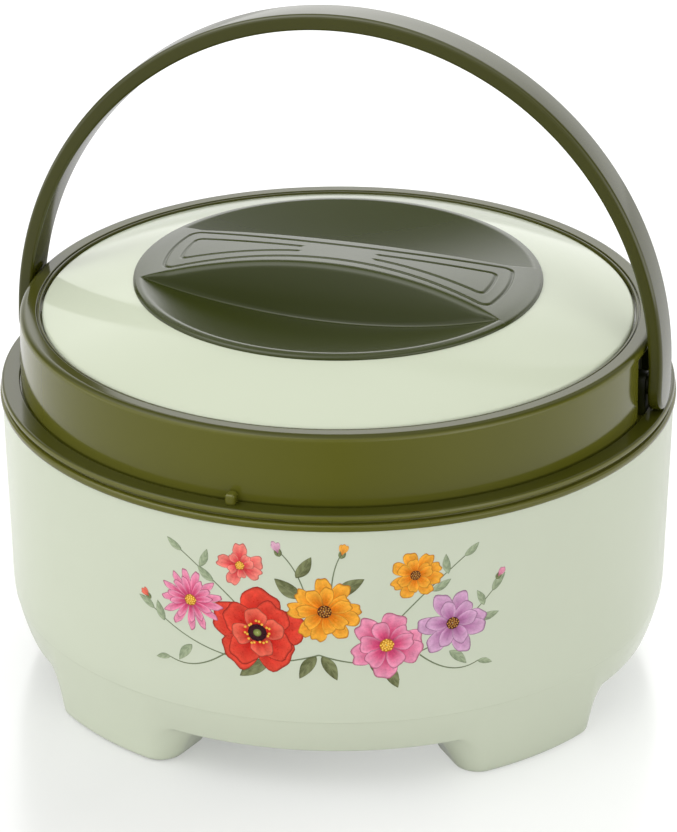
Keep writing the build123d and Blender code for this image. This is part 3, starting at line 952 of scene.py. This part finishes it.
def petal(ink, cx, cy, ang, length, spread, h, inner, mid, tip, line, power=0.45, ruffle=0.03, notch_=0.0, seed=0, veins=0.10):
    rnd = random.Random(seed)
    ph = [rnd.uniform(0, 6.28) for _ in range(4)]
    ln = length * rnd.uniform(0.96, 1.04)
    ncol = 19
    pts, cols = [], []
    for t in RINGS:
        row, crow = [], []
        for j in range(ncol):
            q = -1 + 2 * j / (ncol - 1)
            th = q * spread / 2
            rho = ln * max(0.0, math.cos(q * math.pi / 2)) ** power if abs(q) < 1 else 0.0
            rho = max(rho, 0.30 * ln * (1 - abs(q)) ** 0.2) if abs(q) < 1 else 0.22 * ln
            rho *= 1 + ruffle * math.sin(5 * q + ph[0]) + 0.7 * ruffle * math.sin(11 * q + ph[1])
            rho *= 1 - notch_ * math.exp(-(q / 0.22) ** 2)
            bend = 0.10 * math.sin(ph[2]) * t * t
            a = ang + th * (0.75 + 0.25 * t) + bend
            row.append((cx + rho * t * math.cos(a), cy + rho * t * math.sin(a)))
            c = blend3(inner, mid, t / 0.45) if t < 0.45 else blend3(mid, tip, (t - 0.45) / 0.5)
            # soft light on one flank, darker folds along the petal, a fine drawn edge
            k = 1.0 + 0.16 * q * math.sin(ph[3]) - veins * (0.5 + 0.5 * math.cos(q * 13 + ph[1])) * (1 - 0.5 * t)
            k *= 1 - 0.22 * max(0.0, abs(q) - 0.72) / 0.28
            c = tuple(min(1.0, v * k) for v in c)
            if t >= 0.99 or abs(q) > 0.985:
                c = blend3(c, line, 0.85)
            elif t > 0.95 or abs(q) > 0.87:
                c = blend3(c, line, 0.30)
            crow.append(c)
        pts.append(row)
        cols.append(crow)
    ink.grid(pts, cols, h)


def leaf(ink, x, y, ang, length, width, h, dark, light, bend=0.25, seed=0):
    n, ss = 15, (-1, -0.9, -0.6, -0.3, -0.07, 0, 0.07, 0.3, 0.6, 0.9, 1)
    pts, cols = [], []
    for i in range(n):
        t = i / (n - 1)
        a = ang + bend * (t - 0.5)
        px = x + length * (t * math.cos(ang) - bend * 0.5 * t * (1 - t) * math.sin(ang))
        py = y + length * (t * math.sin(ang) + bend * 0.5 * t * (1 - t) * math.cos(ang))
        w = 0.5 * width * (math.sin(math.pi * min(1.0, t ** 0.85)) ** 0.85 if 0 < t < 1 else 0.0) + 0.06
        row, crow = [], []
        for s in ss:
            row.append((px - math.sin(a) * w * s, py + math.cos(a) * w * s))
            c = blend3(dark, light, 0.5 + 0.35 * s + 0.25 * math.sin(18 * t - 5 * abs(s)))
            if abs(s) < 0.02:
                c = blend3(c, light, 0.8)
            if abs(s) > 0.95 or t in (0, 1):
                c = tuple(v * 0.62 for v in c)
            crow.append(c)
        pts.append(row)
        cols.append(crow)
    ink.grid(pts, cols, h)


def stem(ink, p, q, r, width, h, col):
    """Drawn line along a curve through three control points."""
    pts, cols = [], []
    for i in range(25):
        t = i / 24
        x = (1 - t) ** 2 * p[0] + 2 * t * (1 - t) * q[0] + t * t * r[0]
        y = (1 - t) ** 2 * p[1] + 2 * t * (1 - t) * q[1] + t * t * r[1]
        dx_ = 2 * (1 - t) * (q[0] - p[0]) + 2 * t * (r[0] - q[0])
        dy_ = 2 * (1 - t) * (q[1] - p[1]) + 2 * t * (r[1] - q[1])
        k = math.hypot(dx_, dy_)
        w = 0.5 * width * (1 - 0.35 * t)
        pts.append([(x - dy_ / k * w * s, y + dx_ / k * w * s) for s in (-1, 0, 1)])
        cols.append([tuple(v * 0.8 for v in col), col, tuple(v * 0.8 for v in col)])
    ink.grid(pts, cols, h)


def dot(ink, x, y, r, h, centre, edge, squash=1.0):
    pts, cols = [], []
    for k, t in enumerate((0.12, 0.6, 1.0)):
        pts.append([(x + r * t * math.cos(a), y + r * t * squash * math.sin(a)) for a in [2 * math.pi * j / 12 for j in range(13)]])
        cols.append([blend3(centre, edge, t)] * 13)
    ink.grid(pts, cols, h)


def poppy(ink, x, y, R, seed):
    inner, mid, tip, line = rgb(132, 10, 8), rgb(204, 26, 16), rgb(232, 74, 54), rgb(96, 8, 8)
    k = 0
    for n, L, spread, ofs in ((5, 1.0, 1.65, 0.3), (4, 0.80, 1.75, 0.9), (4, 0.56, 1.7, 0.2)):
        for i in range(n):
            a = ofs + 2 * math.pi * i / n
            t2 = blend3(tip, rgb(246, 130, 104), 0.55 if L < 0.6 else 0.0)
            petal(ink, x, y, a, R * L, spread, 0.05 + 0.004 * k, inner, mid, t2, line, 0.34, 0.045, 0.05, seed + k, 0.16)
            k += 1
    h = 0.05 + 0.004 * k
    dot(ink, x, y, R * 0.20, h + 0.004, rgb(70, 28, 36), rgb(48, 14, 24))
    for i in range(18):
        a = 2 * math.pi * i / 18 + 0.1 * math.sin(i * 2.3)
        rr = R * (0.245 + 0.03 * math.sin(i * 1.7))
        dot(ink, x + rr * math.cos(a), y + rr * math.sin(a), R * 0.028, h + 0.008, rgb(250, 210, 90), rgb(226, 160, 40))
    dot(ink, x, y, R * 0.085, h + 0.012, rgb(170, 178, 96), rgb(96, 108, 50))


def cosmos(ink, x, y, R, seed, inner, mid, tip, line, eye, rings=((8, 1.0), (7, 0.72)), spread=1.0, power=0.4, notch_=0.08):
    k = 0
    for n, L in rings:
        for i in range(n):
            a = 2 * math.pi * (i + 0.5 * k / max(1, n)) / n + 0.2 + 0.05 * math.sin(seed + 3.1 * i)
            petal(ink, x, y, a, R * L, spread * 8 / n, 0.05 + 0.004 * k, inner, mid, tip, line, power, 0.03, notch_, seed + k, 0.13)
            k += 1
    h = 0.05 + 0.004 * k
    dot(ink, x, y, R * 0.19, h + 0.004, eye[0], eye[1])
    for i in range(22):
        a, rr = 2.39996 * i, R * 0.17 * math.sqrt((i + 0.5) / 22)
        dot(ink, x + rr * math.cos(a), y + rr * math.sin(a), R * 0.026, h + 0.008, eye[2], eye[0])


def bud(ink, x, y, ang, L, inner, tip, line, seed):
    for k, (da, s) in enumerate(((-0.28, 0.9), (0.28, 0.9), (0.0, 1.0))):
        petal(ink, x, y, ang + da, L * s, 0.8, 0.06 + 0.004 * k, inner, blend3(inner, tip, 0.6), tip, line, 0.6, 0.01, 0.0, seed + k)
    leaf(ink, x - 0.2 * L * math.cos(ang), y - 0.2 * L * math.sin(ang), ang + 0.35, L * 0.6, L * 0.22, 0.078, rgb(84, 92, 60), rgb(140, 150, 104), 0.5)
    leaf(ink, x - 0.2 * L * math.cos(ang), y - 0.2 * L * math.sin(ang), ang - 0.35, L * 0.6, L * 0.22, 0.082, rgb(84, 92, 60), rgb(140, 150, 104), -0.5)


def draw_spray():
    ink = Ink()
    dk, lt = rgb(88, 92, 58), rgb(136, 142, 100)
    sage, pale = rgb(128, 142, 112), rgb(172, 184, 152)
    line = rgb(120, 132, 100)
    # stems: one long bow under the flowers with side shoots
    for p, q, r in (((0, -13.5), (-34, -25), (-62, -4)), ((0, -13.5), (34, -26), (63, 6)), ((-12, -16), (-28, 6), (-50, 22)), ((16, -14), (34, 8), (52, 22)),
                    ((-34, -16), (-46, -26), (-56, -22)), ((-2, -6), (-4, 18), (-14, 27)), ((36, -15), (48, -26), (58, -21)), ((6, -4), (2, 16), (8, 27))):
        stem(ink, p, q, r, 0.55, 0.034, line)
    # leaves along the bow
    for i, (x, y, a, L, W, c) in enumerate((
            (-18, -17, -2.55, 13, 5.6, 0), (-24, -15, 2.2, 11, 4.6, 0), (-47, -15, -2.2, 9, 3.4, 1), (-58, -8, 1.9, 8, 3.2, 1), (-62, -4, 2.6, 7.5, 2.8, 1),
            (18, -17, -0.6, 13, 5.6, 0), (25, -18, -1.25, 10, 4.4, 0), (47, -15, -0.75, 9, 3.4, 1), (58, -4, 0.15, 8, 3.0, 1), (63, 6, 0.9, 8, 3.0, 1), (60, 1, 2.0, 7, 2.6, 1),
            (-38, 12, 2.4, 8, 3.0, 1), (-43, 17, 1.2, 8, 2.8, 1), (-50, 22, 2.5, 7, 2.6, 1), (40, 10, 0.5, 8, 3.0, 1), (46, 16, 1.7, 8, 2.8, 1), (52, 22, 0.7, 7, 2.6, 1),
            (-6, 9, 2.5, 12, 5.2, 0), (-8, 17, 1.0, 10, 4.2, 0), (6, 10, 0.6, 12, 5.0, 0), (-56, -22, -2.9, 6, 2.2, 1), (58, -21, -0.3, 6, 2.2, 1), (-1, -14, -2.15, 11, 4.4, 0), (1, -14, -1.05, 11, 4.4, 0))):
        leaf(ink, x, y, a, L, W, 0.040 + 0.0004 * i, sage if c else dk, pale if c else lt, 0.3 if i % 2 else -0.3, i)
    # buds
    bud(ink, -14, 26, 1.9, 5.2, rgb(170, 90, 130), rgb(226, 178, 200), rgb(120, 56, 90), 301)
    bud(ink, 8, 26, 1.3, 5.0, rgb(206, 96, 20), rgb(250, 180, 70), rgb(150, 70, 10), 311)
    bud(ink, -64, 0, 2.4, 4.2, rgb(200, 50, 40), rgb(238, 120, 96), rgb(130, 24, 20), 321)
    bud(ink, 65, 11, 0.9, 4.4, rgb(190, 70, 110), rgb(238, 160, 186), rgb(130, 34, 66), 331)
    # blooms
    eye_y = (rgb(236, 178, 52), rgb(170, 96, 18), rgb(252, 222, 120))
    eye_d = (rgb(120, 60, 30), rgb(74, 30, 20), rgb(240, 190, 80))
    orange = (rgb(196, 74, 0), rgb(232, 128, 6), rgb(248, 178, 58), rgb(146, 66, 4))
    pink = (rgb(160, 20, 66), rgb(216, 72, 120), rgb(240, 156, 186), rgb(120, 18, 52))
    lilac = (rgb(122, 44, 96), rgb(184, 116, 166), rgb(218, 172, 206), rgb(96, 44, 82))
    coral = (rgb(180, 24, 36), rgb(228, 70, 74), rgb(246, 142, 128), rgb(126, 16, 22))
    cosmos(ink, -47, 3, 12.0, 40, *pink, eye_y, ((13, 1.0), (11, 0.74)), 0.86, 0.5, 0.0)
    cosmos(ink, 48, -4, 13.0, 50, *lilac, eye_d, ((7, 1.0), (6, 0.74)), 1.02, 0.55, 0.0)
    cosmos(ink, 34, 17, 10.0, 60, *orange, eye_d, ((8, 1.0), (7, 0.70)), 1.05, 0.4, 0.08)
    cosmos(ink, -28, 20, 9.0, 70, *coral, eye_y, ((5, 1.0), (5, 0.62)), 0.72, 0.36, 0.12)
    cosmos(ink, 2, 4, 13.5, 80, *orange, eye_d, ((9, 1.0), (8, 0.74)), 1.0, 0.4, 0.07)
    poppy(ink, -22, -6, 17.5, 90)
    cosmos(ink, 24, -10, 14.0, 110, *pink, eye_y, ((6, 1.0), (6, 0.74)), 0.95, 0.36, 0.10)
    return ink


def ink_material():
    m, g, b = new_material("printed_ink")
    co = g.add("ShaderNodeTexCoord").outputs["Object"]
    col = g.add("ShaderNodeVertexColor", layer_name="ink").outputs["Color"]
    wash = g.noise(co, 420.0, 3.0, 0.6, 0.6)
    fine = g.noise(co, 1500.0, 2.0, 0.5)
    shade = g.math("MULTIPLY", g.maprange(wash, 0.3, 0.7, 0.86, 1.08), g.maprange(fine, 0.3, 0.7, 0.95, 1.04))
    comb = g.add("ShaderNodeCombineColor")
    for i in range(3):
        g.link(shade, comb.inputs[i])
    g.link(g.mix(1.0, col, comb.outputs[0], "MULTIPLY"), b.inputs["Base Color"])
    g.link(g.maprange(fine, 0.3, 0.7, 0.26, 0.34), b.inputs["Roughness"])
    b.inputs["Specular IOR Level"].default_value = 0.22
    return m


ink = draw_spray()
spray = piece("floral_print", ink.v, ink.f, ink_material(), "base", None, sharp=60.0)
layer = spray.data.color_attributes.new("ink", "FLOAT_COLOR", "POINT")
layer.data.foreach_set("color", [x for c in ink.c for x in (*c, 1.0)])

# ------------------------------------------------------------------------ studio
scene = bpy.context.scene
scene.view_settings.view_transform = "Standard"
scene.view_settings.look = "None"
scene.view_settings.exposure = 0.0
scene.view_settings.gamma = 1.0

PHI = math.radians(17.0)            # bearing of the camera from -Y
# the room around the table: brightness by height over the horizon and by bearing from the camera,
# in steps of 45 degrees towards its right; bright panels low behind, to the right and high on the left
HEIGHTS = (4, 16, 30, 48, 90)
ROOM = (
    (0.35, 2.2, 1.2, 1.1, 1.5, 0.6, 1.6, 0.8),
    (0.45, 2.0, 0.2, 0.8, 1.80, 0.1, 0.5, 0.9),
    (0.10, 1.2, 0.1, 0.7, 3.15, 0.3, 1.7, 1.1),
    (1.10, 0.5, 0.1, 1.2, 0.3, 0.2, 3.0, 2.9),
    (1.2,) * 8,
)
ROOM_GAIN = 1.10


def ramp(g, value, stops):
    n = g.add("ShaderNodeValToRGB")
    n.color_ramp.interpolation = "LINEAR"
    e = n.color_ramp.elements
    while len(e) < len(stops):
        e.new(0.5)
    for i, (at, _) in enumerate(stops):
        e[i].position = at
    for i, (_, v) in enumerate(stops):
        e[i].color = (v, v, v, 1.0)
    g.link(value, n.inputs[0])
    return n.outputs[0]


def bearing(g, x, y):
    """0 to 1 round the object from the camera's side, towards the camera's right."""
    cam_at = math.atan2(-math.cos(PHI), math.sin(PHI))
    turn = g.math("DIVIDE", g.math("SUBTRACT", g.math("ARCTAN2", y, x), cam_at), 2 * math.pi)
    return g.math("FRACT", g.math("ADD", turn, 2.0))


world = bpy.data.worlds.new("studio")
scene.world = world
world.use_nodes = True
g = Graph(world.node_tree)
w_out = g.add("ShaderNodeOutputWorld")
sep = g.add("ShaderNodeSeparateXYZ")
g.link(g.add("ShaderNodeTexCoord").outputs["Generated"], sep.inputs[0])
dx, dy, dz = sep.outputs
height = g.math("DIVIDE", g.math("ARCSINE", dz), math.pi / 2)
around = bearing(g, dx, dy)
level = None
for k, row in enumerate(ROOM):
    band = ramp(g, height, [(h / 90.0, 1.0 if i == k else 0.0) for i, h in enumerate(HEIGHTS)])
    part = g.math("MULTIPLY", band, g.math("MULTIPLY", ramp(g, around, [(i / 8.0, row[i % 8] / 5.0) for i in range(9)]), 5.0 * ROOM_GAIN))
    level = part if level is None else g.math("ADD", level, part)
bg_light = g.add("ShaderNodeBackground")
bg_light.inputs["Color"].default_value = (1.0, 1.0, 1.0, 1.0)
g.link(level, bg_light.inputs["Strength"])
bg_seen = g.add("ShaderNodeBackground")
bg_seen.inputs["Color"].default_value = (1.0, 1.0, 1.0, 1.0)
bg_seen.inputs["Strength"].default_value = 1.02
path = g.add("ShaderNodeLightPath")
mixer = g.add("ShaderNodeMixShader")
g.link(path.outputs["Is Camera Ray"], mixer.inputs[0])
g.link(bg_light.outputs[0], mixer.inputs[1])
g.link(bg_seen.outputs[0], mixer.inputs[2])
g.link(mixer.outputs[0], w_out.inputs["Surface"])

# floor: a white table that lights the underside, with a soft shadow and a faint reflection under the object; near the
# object its glow also drops, a painted shadow added to the real one
fm = bpy.data.meshes.new("studio_floor")
S = 6.0
fm.from_pydata([(-S, -S, -0.0002), (S, -S, -0.0002), (S, S, -0.0002), (-S, S, -0.0002)], [], [(0, 1, 2, 3)])
floor = bpy.data.objects.new("studio_floor", fm)
scene.collection.objects.link(floor)
m = bpy.data.materials.new("studio_floor")
m.use_nodes = True
g = Graph(m.node_tree)
out = g.add("ShaderNodeOutputMaterial")
seen = g.add("ShaderNodeBsdfPrincipled")
seen.inputs["Base Color"].default_value = (0.42, 0.42, 0.42, 1.0)
seen.inputs["Roughness"].default_value = 0.20
seen.inputs["Specular IOR Level"].default_value = 0.4
seen.inputs["Emission Color"].default_value = (0.985, 1.0, 0.975, 1.0)
pos = g.add("ShaderNodeSeparateXYZ")
g.link(g.add("ShaderNodeNewGeometry").outputs["Position"], pos.inputs[0])
reach = g.math("SQRT", g.math("ADD", g.math("MULTIPLY", pos.outputs[0], pos.outputs[0]), g.math("MULTIPLY", pos.outputs[1], pos.outputs[1])))
# painted shadow: within about 0.27 m of the centre the floor's glow follows the bearing ramp, dimmer to the left and
# front, a touch brighter to the right
shadow_reach = g.maprange(reach, 0.15, 0.27, 1.0, 0.0, "SMOOTHSTEP")
painted_shadow_by_bearing = ramp(g, bearing(g, pos.outputs[0], pos.outputs[1]), [(0.0, 0.47), (0.125, 0.54), (0.25, 0.56), (0.5, 0.52), (0.75, 0.40), (0.9, 0.37), (0.96, 0.43), (1.0, 0.47)])
g.link(g.math("ADD", g.math("MULTIPLY", shadow_reach, painted_shadow_by_bearing), g.math("MULTIPLY", g.math("SUBTRACT", 1.0, shadow_reach), 0.54)), seen.inputs["Emission Strength"])
lit = g.add("ShaderNodeBsdfDiffuse")
lit.inputs["Color"].default_value = (0.80, 0.80, 0.79, 1.0)
glow = g.add("ShaderNodeEmission")
sep = g.add("ShaderNodeSeparateXYZ")
g.link(g.add("ShaderNodeNewGeometry").outputs["Position"], sep.inputs[0])
side = ramp(g, bearing(g, sep.outputs[0], sep.outputs[1]), [(0.0, 0.10), (0.25, 0.80), (0.5, 0.50), (0.65, 0.80), (0.75, 0.58), (1.0, 0.10)])
g.link(g.math("MULTIPLY", side, 1.5), glow.inputs["Strength"])
path = g.add("ShaderNodeLightPath")
mix1 = g.add("ShaderNodeMixShader")
g.link(path.outputs["Is Glossy Ray"], mix1.inputs[0])
g.link(lit.outputs[0], mix1.inputs[1])
g.link(glow.outputs[0], mix1.inputs[2])
mixer = g.add("ShaderNodeMixShader")
g.link(path.outputs["Is Camera Ray"], mixer.inputs[0])
g.link(mix1.outputs[0], mixer.inputs[1])
g.link(seen.outputs[0], mixer.inputs[2])
g.link(mixer.outputs[0], out.inputs["Surface"])
fm.materials.append(m)

# ------------------------------------------------------------------------ camera
cam_data = bpy.data.cameras.new("camera")
cam = bpy.data.objects.new("camera", cam_data)
scene.collection.objects.link(cam)
scene.camera = cam
D, e, phi, roll = 1.68084, 0.431748, PHI, -0.001146
target = Vector((0.0, 0.0, 0.09393))
back = Vector((math.cos(e) * math.sin(phi), -math.cos(e) * math.cos(phi), math.sin(e)))
right = Vector((0, 0, 1)).cross(back).normalized()
upv = back.cross(right).normalized()
r2 = right * math.cos(roll) + upv * math.sin(roll)
u2 = -right * math.sin(roll) + upv * math.cos(roll)
cam.matrix_world = Matrix.Translation(target + back * D) @ Matrix((r2, u2, back)).transposed().to_4x4()
cam_data.sensor_width = 36.0
cam_data.sensor_fit = "AUTO"
cam_data.lens = 4500.0 * 36.0 / 832.0
cam_data.shift_x = 0.0002
cam_data.clip_start = 0.05
cam_data.clip_end = 100.0
